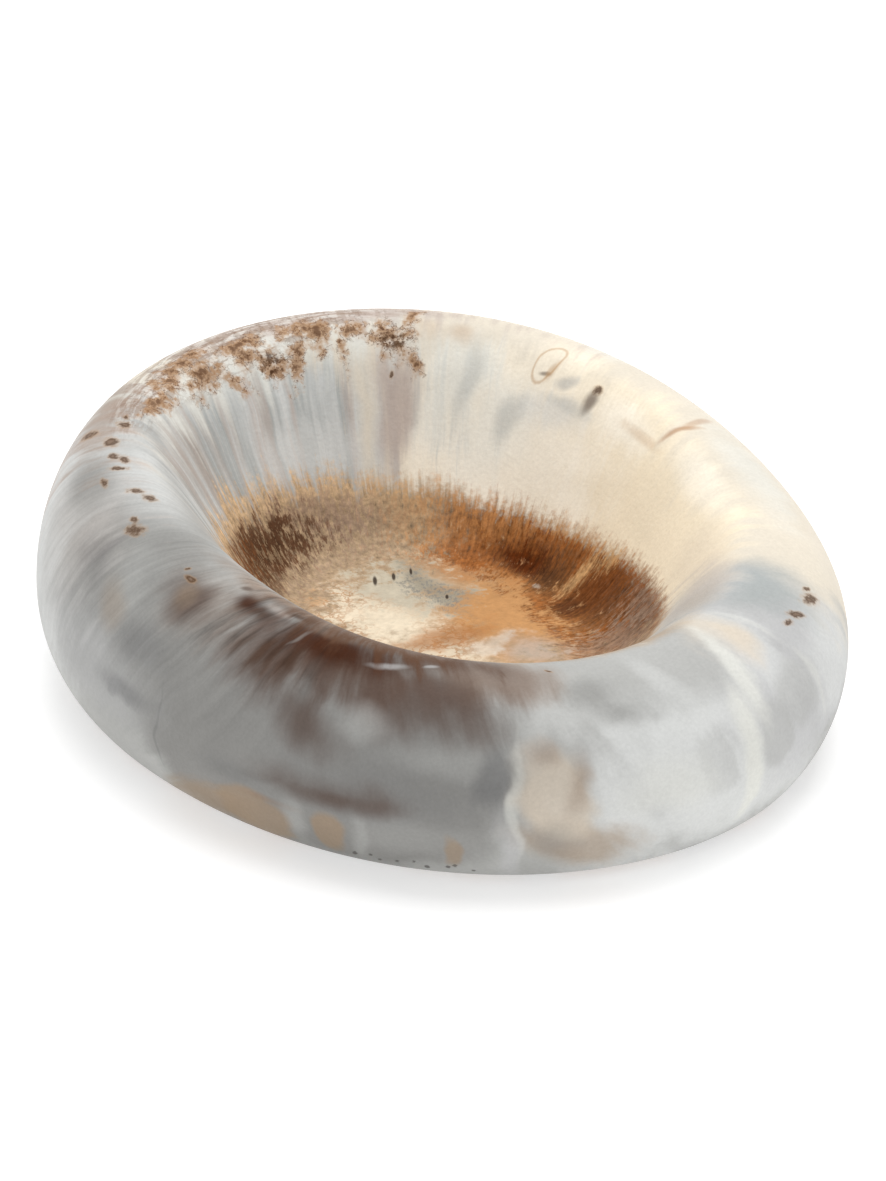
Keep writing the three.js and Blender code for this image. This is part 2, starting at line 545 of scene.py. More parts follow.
def oval(fields, at, half, lean=0.0):
    """Distance to an oval on a pair of fields."""
    return wire.group(
        oval_group, bearing=fields[0], run=fields[1], at_bearing=at[0], at_run=at[1], half_bearing=half[0],
        half_run=half[1], lean=lean,
    )


def nearest(fields, ovals):
    """Distance to the nearest of several ovals, each with its place, its half sizes and its lean."""
    best = FAR
    for at, half, lean in ovals:
        best = wire.calc("MINIMUM", best, oval(fields, at, half, lean))
    return best


def tell(step):
    """Says how far the figure has grown."""
    print(step, "poured:", len(resin_tree.nodes), "nodes so far")


# %% [markdown]
# The outside
#
# The outside is ivory at the right and the rear, and grey from the left round to the front, where the
# greys lie in soft clouds. At the right end a blue-grey band, a tongue of cream and two white veils part
# the two. Broad pours come first and small ones last, as the later ones lie on top.

# %% Pour the right end and the front right
figure = pour(DOVE, PALE, (178, 1.9), (20, 0.95), 1.0, soft=0.6)
figure = pour(figure, MIST, (155, 2.4), (16, 0.8), 0.9, soft=0.5)
figure = pour(figure, PALE, (146, 2.2), (8, 0.3), 0.7)
figure = pour(figure, IVORY, (53, 2.6), (90.5, 2.4), soft=0.06, lean=10, wisps=0.03, billows=0.04)
figure = pour(figure, BLUE_GREY, (151.5, 3.05), (6.5, 0.45), 1.0, soft=0.6, lean=9)
figure = pour(figure, DOVE, (174, 2.8), (6, 0.26), 0.8)
figure = pour(figure, DOVE, (187, 2.82), (9, 0.26), 1.0)
figure = pour(figure, ASH, (189.5, 2.73), (4, 0.11), 0.6)
figure = pour(figure, ASH, (186.5, 2.57), (3, 0.08), 0.5)
figure = pour(figure, PALE, (183, 2.42), (8, 0.08), 0.9)
figure = pour(figure, PALE, (180, 2.72), (1.4, 0.2), 0.4, lean=10)
figure = pour(figure, DOVE, (177.5, 2.05), (3, 0.22), 0.35, soft=0.4)
figure = pour(figure, PALE, (163.5, 2.9), (5.4, 0.5), 0.6, soft=0.4, lean=5)
figure = pour(figure, DOVE, (159.5, 2.3), (4.6, 0.2), 0.5, soft=0.35, billows=0.2)
figure = pour(figure, DOVE, (167, 2.1), (3.2, 0.25), 0.5, soft=0.25, wisps=0.1, billows=0.15)
figure = pour(figure, CREAM, (166.5, 3.05), (4.4, 0.24), 0.6)
figure = pour(figure, CREAM, (163.5, 2.82), (2.8, 0.17), 0.7)
figure = pour(figure, WHITE, (158.8, 2.8), (0.45, 0.24), 0.3, lean=8)
figure = pour(figure, WHITE, (168.6, 2.7), (1.5, 0.36), 0.8)
figure = pour(figure, WHITE, (171.8, 1.95), (1.7, 0.5), 0.9, soft=0.5)
figure = pour(figure, WHITE, (154.4, 2.25), (0.6, 0.25), 0.3, lean=5)
figure = pour(figure, WHITE, (184, 2.0), (4, 0.2), 0.5)
figure = pour(figure, WHITE, (108, 2.75), (14, 0.16), 0.6)
tell("right end")

# %% Pour the greys at the left and the front
figure = pour(figure, ASH, (-90, 2.45), (32, 0.6), 0.85, soft=0.6)
figure = pour(figure, ASH, (-130, 2.1), (29.5, 1.2), 1.0, soft=0.15, wisps=0.05, billows=0.06)
figure = pour(figure, SLATE, (-143, 2.0), (13, 0.25), 0.3)
figure = pour(figure, DOVE, (-150, 2.28), (7, 0.1), 0.4)
figure = pour(figure, DOVE, (-148, 1.55), (9, 0.2), 0.25)
figure = pour(figure, SLATE, (-120, 1.85), (6, 0.12), 0.3)
figure = pour(figure, MIST, (-80, 2.05), (18, 0.3), 0.45)
figure = pour(figure, DOVE, (-89, 2.55), (4, 0.2), 0.5)
figure = pour(figure, PALE, (-64, 3.0), (14, 0.18), 0.55)
figure = pour(figure, SLATE, (-95, 2.09), (6, 0.05), 0.5)
figure = pour(figure, SLATE, (-96, 2.35), (6, 0.1), 0.4)
figure = pour(figure, SLATE, (-79.4, 2.6), (0.9, 0.13), 0.7, lean=-4)
figure = pour(figure, SLATE, (-76, 2.48), (5, 0.1), 0.5)
figure = pour(figure, ASH, (-60, 2.7), (5, 0.12), 0.5)
figure = pour(figure, ASH, (-62, 2.6), (9, 0.3), 0.35)
figure = pour(figure, TAN, (-87, 2.42), (3, 0.1), 0.35)
figure = pour(figure, ASH, (-92, 2.92), (8, 0.1), 0.6)
figure = pour(figure, LILAC, (-66, 2.5), (12, 0.3), 0.35)
tell("greys")

# %% [markdown]
# The photograph doesn't show the far side. Its colours carry on from the rim above it: veils of lilac,
# grey and white run down from under the lace, and the ivory clouds a little, with a few tan stains near
# the base.

# %% Pour the far side
figure = pour(figure, PALE, (-50, 1.9), (22, 0.9), 0.8)
figure = pour(figure, LILAC, (-28, 2.2), (18, 0.75), 0.7, wisps=0.8)
figure = pour(figure, BLUE_GREY, (-40, 2.0), (5, 0.7), 0.6, lean=12)
figure = pour(figure, BLUE_GREY, (-12, 1.8), (6, 0.7), 0.5, lean=12)
figure = pour(figure, WHITE, (-20, 2.2), (3, 0.6), 0.6, lean=10)
figure = pour(figure, TAUPE, (2, 2.5), (9, 0.28), 0.5, wisps=1.2)
figure = pour(figure, TAN, (-22, 1.4), (9, 0.28), 0.6, soft=0.4)
figure = pour(figure, PEACH, (44, 1.75), (11, 0.5), 0.7)
figure = pour(figure, BLUE_GREY, (82, 2.0), (12, 0.5), 0.45, lean=-14)
figure = pour(figure, WHITE, (66, 2.2), (5, 0.7), 0.6, lean=-8)
figure = pour(figure, CREAM, (108, 1.75), (10, 0.5), 0.8)
figure = pour(figure, AMBER, (97, 1.5), (2.5, 0.2), 0.4, soft=0.5)
figure = pour(figure, ASH, (-61, 2.68), (6, 0.14), 0.6)
tell("far side")

# %% [markdown]
# Near the base the front shows blocks of tan with crisp sides, as if the resin had run down past a
# bubble. Dark mauve clouds hang above them. An umber pour spills over the front left of the rim, with a
# chestnut heart and thin dark streaks, and the flow combs it. Two pale glints on it are painted
# highlights.

# %% Pour the tans near the base
figure = pour(figure, TAN, (-123, 1.36), (6.7, 0.34), 0.75, soft=0.2, wisps=0.2, billows=0.2)
figure = pour(figure, TAN, (-114, 1.26), (9, 0.26), 0.7, soft=0.5, lean=-14)
figure = pour(figure, TAUPE, (-126, 1.64), (3.6, 0.05), 0.4)
figure = pour(figure, TAN, (-134, 1.42), (2.6, 0.32), 0.8, soft=0.2, wisps=0.1, billows=0.1)
figure = pour(figure, DOVE, (-129.4, 1.42), (1.6, 0.3), 0.6)
figure = pour(figure, DOVE, (-138.4, 1.4), (1.2, 0.3), 0.5)
figure = pour(figure, TAN, (-150.5, 1.42), (0.9, 0.22), 0.7, soft=0.4, wisps=0.1, billows=0.1)
figure = pour(figure, TAN, (194.5, 1.54), (6.4, 0.32), 0.7, soft=0.5, lean=6)
figure = pour(figure, PEACH, (196.6, 2.05), (4.4, 0.38), 0.85, soft=0.3, lean=5, wisps=0.1, billows=0.2)
figure = pour(figure, ASH, (197, 1.6), (2.5, 0.2), 0.4)
figure = pour(figure, TAUPE, (194.2, 2.15), (1.6, 0.2), 0.45)
figure = pour(figure, TAUPE, (198, 2.36), (2, 0.1), 0.45)
figure = pour(figure, SLATE, (203.6, 2.2), (2.2, 0.17), 0.6, soft=0.5)
figure = pour(figure, WHITE, (201.4, 1.9), (0.5, 0.5), 0.4, wisps=0.1, billows=0.1)
figure = pour(figure, SLATE, (-103.7, 1.85), (0.25, 0.3), 0.35, wisps=0.1, billows=0.1)
figure = pour(figure, MIST, (202.5, 1.4), (1.4, 0.4), 0.6)
tell("tans")

# %% Pour the front left of the rim
figure = pour(figure, MAUVE, (-146, 2.64), (10, 0.23), 0.85)
figure = pour(figure, TAUPE, (-157, 2.9), (8, 0.17), 0.7)
figure = pour(figure, MAUVE, (-157, 2.89), (6, 0.14), 0.35)
figure = pour(figure, MAUVE, (-148.5, 2.74), (6.5, 0.11), 0.75)
figure = pour(figure, BEIGE, (185, 3.18), (22, 0.11), 0.8)
figure = pour(figure, MAUVE, (-147, 3.06), (10, 0.15), 0.85)
figure = pour(figure, WALNUT, (-147, 3.05), (8, 0.1), 0.5)
figure = pour(figure, MAUVE, (-135.5, 1.95), (8.5, 0.12), 0.8, soft=0.9)
figure = pour(figure, MAUVE, (-130.3, 2.38), (3.4, 0.13), 0.8, soft=1.0, lean=20)
figure = pour(figure, WALNUT, (-131, 2.76), (8.5, 0.15), 0.8, soft=0.9)
figure = pour(figure, UMBER, (-131, 2.86), (8.5, 0.17), 0.95, soft=0.8)
figure = pour(figure, MAUVE, (-133, 2.68), (8, 0.13), 0.8, soft=0.9, wisps=0.5)
figure = pour(figure, MAUVE, (-121, 2.68), (9, 0.18), 0.85, soft=0.9, wisps=0.5)
figure = pour(figure, MAUVE, (-116.5, 2.87), (7, 0.09), 0.8, soft=0.9, wisps=0.5)
figure = pour(figure, UMBER, (-125, 2.7), (0.9, 0.13), 0.7, lean=-4)
figure = pour(figure, UMBER, (-122, 2.69), (0.7, 0.13), 0.6, lean=-6)
figure = pour(figure, UMBER, (-119.4, 2.64), (0.9, 0.13), 0.7, lean=-9)
figure = pour(figure, UMBER, (-116, 2.66), (0.7, 0.11), 0.5, lean=-10)
figure = pour(figure, UMBER, (-115.5, 2.88), (2, 0.05), 0.6)
figure = pour(figure, TAUPE, (-105, 2.8), (8, 0.2), 0.35, soft=0.9)
figure = pour(figure, LILAC, (-117.5, 2.96), (3, 0.04), 0.4)
figure = pour(figure, CHESTNUT, (-130, 2.87), (7.5, 0.14), 1.0, soft=0.7)
figure = pour(figure, CHESTNUT, (-112, 2.92), (2.8, 0.075), 0.9)
figure = pour(figure, MAUVE, (-118, 2.8), (3, 0.06), 0.5)
figure = pour(figure, MAUVE, (-101, 2.74), (5, 0.13), 0.8)
figure = pour(figure, TAN, (-99.5, 2.74), (2, 0.08), 0.35)
figure = pour(figure, DOVE, (-137, 2.45), (3, 0.1), 0.5)
# Painted highlights: two small pale glints of reflected light on the rim's crest, poured as colour
figure = pour(figure, MIST, (-138.8, 2.86), (1.6, 0.036), 0.5, lean=-50, wisps=0.1, billows=0.1)
figure = pour(figure, MIST, (-145.6, 2.93), (0.9, 0.018), 0.5, lean=-40, wisps=0.1, billows=0.1)
figure = pour(figure, TAUPE, (-120, 3.08), (17, 0.1), 0.85)
figure = pour(figure, MAUVE, (-122, 3.03), (12, 0.05), 0.45)
figure = pour(figure, UMBER, (-121.5, 3.0), (2, 0.03), 0.6, lean=-30)
figure = pour(figure, UMBER, (-108, 3.0), (1.2, 0.025), 0.6, lean=-30)
figure = pour(figure, DOVE, (-124.2, 2.86), (0.35, 0.08), 0.3, lean=-14, wisps=0.1, billows=0.1)
figure = pour(figure, DOVE, (-113, 2.74), (0.5, 0.1), 0.3, lean=-16, wisps=0.1, billows=0.1)
rippled = wire.window(true_bearing, -134, -126, -112, -96)
rippled = wire.calc("MULTIPLY", rippled, wire.ease(true_run, 2.35, 2.65))
figure = wire.shade(figure, wire.calc("MULTIPLY", rippled, wire.calc("MINIMUM", ripple, 0.12)), 0.5)
combed = wire.window(true_bearing, -150, -115, -60, -25)
combed = wire.calc("MULTIPLY", combed, wire.ease(true_run, 1.8, 2.5))
figure = wire.shade(figure, wire.calc("MULTIPLY", combed, comb), 0.1)
tell("front left")

# %% [markdown]
# The well's wall
#
# Down the far wall run fine streaks of blue-grey, lilac and warm white, which start under the rim. Single
# pours would make too few of them, so they come from fibres of noise. To the right of them the wall is
# plain ivory that warms towards the pool, with a few soft blue-grey smudges.

# %% Pour the wall
streak_light = wire.ease(fibres(3.2, 1.3, 5, 0.6), -0.7, 0.65)
streak_warmth = wire.ease(fibres(5, 1.5, 4, 0.6, apart=40), -0.1, 0.5)
streaks = wire.veil(BLUE_GREY, PALE, streak_light, 0.85)
streaks = wire.veil(streaks, LILAC, streak_warmth, 0.6)
figure = pour(figure, BUTTER, (100, 3.52), (80, 0.44), 0.95, soft=0.4)
figure = pour(figure, MILK, (48, 3.5), (32, 0.32), 0.95)
figure = pour(figure, streaks, (-28, 3.48), (52, 0.38), 1.0, soft=0.2, lean=-10, wisps=0.3, billows=0.1)
figure = pour(figure, streaks, (-140, 3.5), (62, 0.36), 1.0, soft=0.3, lean=10, wisps=0.3, billows=0.1)
figure = pour(figure, WALNUT, (-132, 3.2), (14, 0.22), 0.7, wisps=1.2)
figure = pour(figure, ASH, (-36, 3.36), (24, 0.2), 0.25, wisps=0.8)
figure = pour(figure, TAUPE, (-40, 3.25), (16, 0.16), 0.3, wisps=1.2)
figure = pour(figure, PALE, (2, 3.54), (14, 0.09), 0.6, wisps=0.6)
figure = pour(figure, LILAC, (20.5, 3.4), (4.2, 0.24), 0.85, soft=0.6, lean=-8)
figure = pour(figure, PALE, (5, 3.36), (3, 0.14), 0.4, wisps=0.6)
figure = pour(figure, IVORY, (14, 3.4), (2.2, 0.3), 0.85, lean=-10, wisps=0.6)
figure = pour(figure, MILK, (27.5, 3.52), (2.6, 0.24), 0.7, lean=-8)
figure = pour(figure, CHALK, (33, 3.3), (6, 0.2), 0.7, lean=-12)
figure = pour(figure, BLUE_GREY, (35, 3.3), (1.8, 0.16), 0.4, lean=-12)
figure = pour(figure, CHALK, (44, 3.45), (8, 0.16), 0.5, lean=-20)
figure = pour(figure, BLUE_GREY, (47, 3.41), (2.4, 0.08), 0.45, lean=-20)
figure = pour(figure, PALE, (58, 3.33), (8, 0.07), 0.5, lean=-60)
figure = pour(figure, MILK, (80, 3.22), (9, 0.09), 0.8)
figure = pour(figure, MILK, (72, 3.58), (10, 0.07), 0.5)
figure = pour(figure, MILK, (112, 3.12), (12, 0.1), 0.6)
figure = pour(figure, CREAM, (136, 3.3), (8, 0.16), 0.5)
figure = pour(figure, MIST, (153, 3.24), (9, 0.22), 0.9)
figure = pour(figure, DOVE, (155, 3.2), (4, 0.14), 0.5)
figure = pour(figure, BEIGE, (151, 3.24), (9, 0.16), 0.3)
tell("wall")

# %% [markdown]
# The rim
#
# Along the rear of the rim the brown resin curdled on white into a lace of clumps, with filaments that
# curl between them and drips outside. Each clump starts as an oval knot, and noise breaks it up. Small
# dark spots with pale centres trail off from it to the left. Amber veins and dark smudges mark the ivory
# at the right.

# %% Curdle the lace
KNOTS = (
    ((-36, 3.07), (3.4, 0.05), 50), ((-28, 3.05), (2.2, 0.07), 0), ((-21, 3.13), (4, 0.06), 0),
    ((-15, 3.21), (1.6, 0.05), 40), ((-8.5, 3.15), (2.5, 0.05), 0), ((-5, 3.21), (2.6, 0.05), 0),
    ((1.2, 3.22), (1.5, 0.06), -20), ((7.5, 3.12), (2, 0.07), 0), ((13.5, 3.11), (3, 0.04), 0),
    ((21, 3.16), (3, 0.06), 0), ((11, 3.21), (0.8, 0.05), 0), ((25.5, 3.28), (1, 0.03), 0),
    ((25.8, 3.03), (1.2, 0.07), -20), ((-23, 2.99), (7, 0.05), 0), ((-8, 3.07), (4, 0.04), 0),
    ((4, 3.07), (4, 0.04), 0),
)
CORES = (((-4.2, 3.205), (2.4, 0.035), 0), ((21.3, 3.18), (2.2, 0.04), 0))
LAYER_DEGREES = 7
LAYER_RUN = 0.04

figure = pour(figure, WHITE, (-10, 3.12), (36, 0.16), 0.85, soft=0.6, wisps=0.8)
figure = pour(figure, LILAC, (-7, 2.94), (40, 0.14), 0.85, wisps=0.8)
figure = pour(figure, LILAC, (14, 2.97), (13, 0.08), 0.95)
figure = pour(figure, TAUPE, (-40, 2.75), (14, 0.15), 0.55, wisps=0.9)
layers = wire.vector(wire.calc("DIVIDE", bearing, LAYER_DEGREES), wire.calc("DIVIDE", run, LAYER_RUN))
layers = wire.noise(layers, 1, 4, 0.6)
knots = wire.calc("SUBTRACT", 1.0, nearest(on_dish, KNOTS))
lump = wire.noise(place, 340, 3, 0.6)
lace = wire.calc("MULTIPLY_ADD", lump, 1.1, knots)
lace_deep = wire.calc("MULTIPLY_ADD", crumb, 0.6, lace)
band = wire.ease(oval(in_flow, (-12, 2.96), (42, 0.27)), 1.1, 0.5)
thread = wire.calc("ABSOLUTE", wire.calc("MULTIPLY_ADD", crumb, 0.25, wire.noise(place, 210, 3, 0.6)))
thread = wire.calc("MULTIPLY", wire.ease(thread, 0.14, 0.0), band)
layer = wire.calc("MULTIPLY", wire.ease(layers, 0.02, 0.3), band)
pale_layer = wire.calc("MULTIPLY", wire.ease(layers, -0.05, -0.3), band)
figure = wire.veil(figure, WHITE, pale_layer, 0.45)
drip = wire.ease(oval(in_flow, (-7, 2.95), (38, 0.13)), 1.2, 0.5)
drip = wire.calc("MULTIPLY", drip, wire.ease(fibres(1.5, 0.3, 3, 0.6, apart=140), -0.05, 0.35))
figure = wire.veil(figure, TAUPE, drip, 0.45)
figure = wire.veil(figure, LACE_STAIN, wire.ease(lace, -0.9, 0.2), 0.5)
figure = wire.veil(figure, TAUPE, layer, 0.55)
figure = wire.veil(figure, WALNUT, thread, 0.4)
figure = wire.veil(figure, LACE_BROWN, wire.ease(lace_deep, -0.5, 0.6), 0.75)
figure = wire.veil(figure, WALNUT, wire.ease(lace_deep, 0.4, 1.3), 0.8)
curl = wire.calc("ABSOLUTE", wire.noise(place, 400, 4, 0.6))
curl = wire.calc("MULTIPLY", wire.ease(curl, 0.1, 0.0), wire.ease(lace, -1.1, -0.1))
figure = wire.veil(figure, WALNUT, curl, 0.85)
core = wire.calc("SUBTRACT", 1.0, nearest(on_dish, CORES))
core = wire.calc("MULTIPLY_ADD", crumb, 1.2, core)
figure = wire.veil(figure, UMBER, wire.ease(core, -0.3, 0.9), 0.8)
print("lace:", len(KNOTS), "knots")

# %% Spot the rim
SPOTS = (
    ((-79.6, 2.785), (1.1, 0.035)), ((-76.8, 2.82), (0.7, 0.014)), ((-72, 2.98), (0.9, 0.024)),
    ((-68.8, 2.925), (0.6, 0.03)), ((-63.2, 2.775), (0.9, 0.014)), ((-60.4, 2.885), (0.5, 0.034)),
    ((-57.8, 2.93), (0.9, 0.022)), ((-56.1, 2.87), (0.8, 0.022)), ((-51, 2.86), (1, 0.034)),
    ((-45.7, 2.93), (0.7, 0.03)), ((-43.2, 2.932), (0.6, 0.014)), ((-45.4, 2.69), (0.7, 0.045)),
    ((-98.3, 2.8), (0.9, 0.014)), ((-95.8, 2.835), (0.3, 0.012)), ((143.2, 2.6), (0.5, 0.016)),
    ((145, 2.56), (1, 0.036)), ((150.8, 2.6), (0.6, 0.034)), ((153.7, 2.615), (0.6, 0.016)),
    ((194.7, 2.962), (0.25, 0.01)), ((20.3, 3.315), (0.3, 0.01)), ((68.4, 3.166), (0.7, 0.016)),
)
SPOT_LEAN_LEFT = -12
SPOT_LEAN_RIGHT = 22
RIGHT_END = 100

leaning = [(at, half, SPOT_LEAN_LEFT if at[0] < RIGHT_END else SPOT_LEAN_RIGHT) for at, half in SPOTS]
spots = wire.calc("MULTIPLY_ADD", crumb, 0.6, nearest(on_dish, leaning))
figure = wire.veil(figure, AMBER, wire.ease(spots, 2.4, 0.8), 0.45)
figure = wire.veil(figure, UMBER, wire.ease(spots, 1.7, 0.6), 0.8)
figure = wire.veil(figure, TAUPE, wire.ease(spots, 0.55, 0.2), 0.6)
print("rim:", len(SPOTS), "spots")

# %% Vein the ivory
figure = pour(figure, DOVE, (60, 3.19), (2.2, 0.035), 0.6, lean=-45)
figure = pour(figure, BLUE_GREY, (62, 3.28), (6, 0.03), 0.35, lean=-70)
figure = pour(figure, MAUVE, (67.4, 3.215), (1.2, 0.055), 0.75, lean=-22)
egg = oval(in_flow, (52.6, 3.14), (3.1, 0.11), -14)
egg = wire.calc("ABSOLUTE", wire.calc("SUBTRACT", egg, 1))
figure = wire.veil(figure, AMBER, wire.ease(egg, 0.16, 0.0), 0.5)
figure = pour(figure, CHESTNUT, (53.2, 3.195), (1.4, 0.012), 0.6, lean=-60)
figure = pour(figure, AMBER, (54.8, 3.17), (0.9, 0.05), 0.5, lean=-16)
figure = pour(figure, AMBER, (34, 3.1), (2.4, 0.05), 0.35)
figure = pour(figure, AMBER, (28, 3.1), (3, 0.06), 0.25)
figure = pour(figure, AMBER, (86, 3.2), (6, 0.03), 0.35, lean=-70)
figure = pour(figure, CARAMEL, (92.6, 3.04), (0.8, 0.11), 0.6, lean=-8)
figure = pour(figure, CARAMEL, (91.2, 2.87), (0.8, 0.1), 0.4, lean=12)
tell("rim")

# %% [markdown]
# The pool
#
# In the well the browns lie in a pool whose edge climbed the wall in fine spikes. It is darkest at the
# right, where the chocolate stands at the wall's foot. On the floor sand and ivory meet a grey patch,
# with caramel lacing at the left. The pool has a figure of its own, laid over the wall inside a ragged
# edge that rides higher at the front left than at the rear right. Its rings are poured by their depth
# inside that edge, and the floor by plain millimetres across and along, because bearings crowd together
# in its middle.

# %% Pour the rings of the pool
POOL_LOW_BEARING = 48
POOL_MEAN_RUN = 3.505
POOL_TILT = 0.12
POOL_BEND = 0.06

swing = wire.calc("COSINE", wire.calc("RADIANS", wire.calc("SUBTRACT", true_bearing, POOL_LOW_BEARING)))
pool_edge = wire.calc("MULTIPLY", swing, wire.calc("MULTIPLY_ADD", swing, POOL_BEND, POOL_TILT))
depth = wire.calc("SUBTRACT", wire.calc("SUBTRACT", true_run, POOL_MEAN_RUN), pool_edge)


def pour_ring(under, colour, at, half, strength=1.0, soft=0.6, lean=0.0, wisps=0.4, curds=0.2):
    """Pours a pigment into the pool, at a bearing and a depth inside the pool's edge."""
    tears = (hair, wisps), (curd, curds)
    return pour_on((bearing, depth), tears, under, colour, at, half, strength, soft, lean)


def pour_bed(under, colour, at, half, strength=1.0, soft=0.6, lean=0.0, curds=0.5, crumbs=0.15):
    """Pours a pigment on the pool's bed, at x and y in millimetres."""
    tears = (crumb, crumbs), (curd, curds)
    return pour_on(on_bed, tears, under, colour, at, half, strength, soft, lean)


pool = pour_ring(BEIGE, RUST, (92, 0.3), (60, 0.8), 1.0, soft=0.2, wisps=0.1)
pool = pour_ring(pool, FLAX, (-30, 0.02), (66, 0.11))
tangle = wire.calc("MULTIPLY", wire.ease(hair, 0.0, 0.4), wire.ease(depth, 0.04, 0.12))
pool = wire.veil(pool, TAUPE, tangle, 0.6)
pool = pour_ring(pool, CARAMEL, (90, 0.46), (56, 0.3), 1.0, wisps=0.6)
pool = pour_ring(pool, CARAMEL, (36, 0.2), (10, 0.25), 0.6, wisps=0.8)
pool = pour_ring(pool, RUST, (42, 0.36), (13, 0.16), 0.8, wisps=0.6)
pool = pour_ring(pool, RUST, (100, 0.42), (16, 0.14), 0.8, wisps=0.6)
pool = pour_ring(pool, AMBER, (70, 0.0), (52, 0.035), 0.6, wisps=0.8)
pool = pour_ring(pool, CARAMEL, (50, 0.08), (14, 0.08), 0.7, wisps=0.8)
pool = pour_ring(pool, CHOCOLATE, (66, 0.21), (14, 0.1), 1.0, soft=0.6, wisps=0.6)
pool = pour_ring(pool, UMBER, (83, 0.24), (9, 0.14), 0.8, soft=0.8, wisps=0.6)
pool = pour_ring(pool, CHOCOLATE, (110, 0.24), (14, 0.21), 0.75, soft=0.6, wisps=0.6)
pool = pour_ring(pool, UMBER, (108, 0.36), (7, 0.09), 0.5)
pool = pour_ring(pool, WALNUT, (128, 0.2), (10, 0.24), 0.5, wisps=0.8)
pool = pour_ring(pool, TAUPE, (143, 0.26), (9, 0.28), 0.7, wisps=1.0)
pool = pour_ring(pool, WALNUT, (141, 0.12), (7, 0.1), 0.6, wisps=1.0)
pool = pour_ring(pool, AMBER, (95.5, 0.17), (3, 0.11), 1.0, soft=0.8, wisps=0.6)
pool = pour_ring(pool, AMBER, (103, 0.03), (5, 0.06), 0.8, wisps=0.8)
pool = pour_ring(pool, TAUPE, (134, 0.1), (8, 0.1), 0.5, wisps=0.8)
pool = pour_ring(pool, PEACH, (80, 0.32), (2, 0.02), 0.5)
pool = pour_ring(pool, TAUPE, (-2, 0.12), (20, 0.07), 0.75, wisps=1.0)
pool = pour_ring(pool, AMBER, (23, 0.13), (8, 0.12), 0.4, wisps=1.0)
pool = pour_ring(pool, WALNUT, (-34, 0.2), (26, 0.11), 0.95, soft=0.45, wisps=0.5, curds=0.4)
pool = pour_ring(pool, UMBER, (-30, 0.19), (15, 0.06), 0.6, curds=0.6)
pool = pour_ring(pool, WALNUT, (-36, 0.31), (13, 0.08), 0.45, wisps=0.8, curds=1.2)
pool = pour_ring(pool, RUST, (-105, 0.19), (45, 0.12), 0.8)
pool = pour_ring(pool, TAUPE, (180, 0.19), (30, 0.16), 0.8)
fleck = wire.calc("MULTIPLY", wire.ease(hair, -0.15, -0.5), wire.ease(true_bearing, 45, 0))
pool = wire.veil(pool, FLAX, fleck, 0.4)
drawn = wire.calc("MULTIPLY", bristle, wire.ease(true_bearing, 10, 60))
pool = wire.shade(pool, wire.calc("ADD", wire.calc("ADD", hair, drawn), crumb), 0.3)
tell("rings")

# %% Pour the bed of the pool
CELLS_PER_METRE = 270
CELL_JITTER = 2 * MM
BED_SPECKS = (
    ((-1.6, 23.3), (0.45, 1.7), 0.5), ((2.4, 23), (0.4, 1.4), 0.5), ((6.4, 23.2), (0.3, 1.2), 0.5),
    ((6.8, 10.3), (0.35, 0.8), 0.5),
)

bed = pour_bed(BEIGE, SAND, (13, -1), (16, 20))
bed = pour_bed(bed, RUST, (19, 17), (5, 7), 0.35, soft=0.9, lean=-0.6, curds=0.8, crumbs=0.4)
bed = pour_bed(bed, BONE, (-9.5, 9), (10.5, 14), 1.0, lean=0.1)
bed = pour_bed(bed, BONE, (-8, -12), (9, 10), 0.8)
bed = pour_bed(bed, SAND, (-17.5, 22), (4.5, 5), 0.7, curds=1.0)
bed = pour_bed(bed, LICHEN, (3, 20), (7.5, 11), 1.0, lean=0.2, curds=0.8, crumbs=0.4)
bed = pour_bed(bed, LICHEN, (11.5, 18), (2.5, 5), 0.5, curds=0.8, crumbs=0.4)
bed = pour_bed(bed, STONE, (8.5, 17), (2.8, 9), 0.85, lean=0.25, soft=0.8, curds=0.8, crumbs=0.6)
bed = pour_bed(bed, CARAMEL, (-3, -5), (10, 4), 0.75)
bed = pour_bed(bed, PEACH, (4, -12), (6, 2), 0.7)
bed = pour_bed(bed, DOVE, (12, -19), (5, 5), 0.5, lean=-0.5)
moss = wire.ease(oval(on_bed, (7, 16), (5, 11), 0.2), 1.2, 0.6)
moss = wire.calc("MULTIPLY", moss, wire.ease(wire.calc("ADD", crumb, hair), 0.15, 0.5))
bed = wire.veil(bed, SLATE, moss, 0.5)
jitter = wire.noise(place, 300, 3, 0.6, output=1)
cell_place = wire.node("ShaderNodeVectorMath", operation="MULTIPLY_ADD")
wire.feed(cell_place.inputs[0], jitter)
wire.feed(cell_place.inputs[1], (CELL_JITTER, CELL_JITTER, CELL_JITTER))
wire.feed(cell_place.inputs[2], place)
cells = wire.node("ShaderNodeTexVoronoi", feature="DISTANCE_TO_EDGE")
wire.feed(cells.inputs["Vector"], cell_place.outputs[0])
wire.feed(cells.inputs["Scale"], CELLS_PER_METRE)
shore = wire.calc("SUBTRACT", oval(on_bed, (-9, 5), (11, 16), 0.1), 1.0)
shore = wire.ease(wire.calc("ABSOLUTE", shore), 0.7, 0.1)
left_or_front = wire.calc("MAXIMUM", wire.ease(floor_x, 0, -8), wire.ease(floor_y, 6, -2))
shore = wire.calc("MULTIPLY", shore, left_or_front)
lacing = wire.calc("MULTIPLY", wire.ease(cells.outputs["Distance"], 0.13, 0.0), shore)
bed = wire.veil(bed, CARAMEL, lacing, 0.7)
bed = wire.shade(bed, wire.calc("ADD", curd, crumb), 0.08)
shelf = wire.calc("MULTIPLY_ADD", hair, 0.15, wire.calc("MULTIPLY_ADD", curd, 0.25, run))
pool = wire.blend(pool, bed, wire.ease(shelf, 3.98, 4.25))
specks = nearest(on_floor, BED_SPECKS)
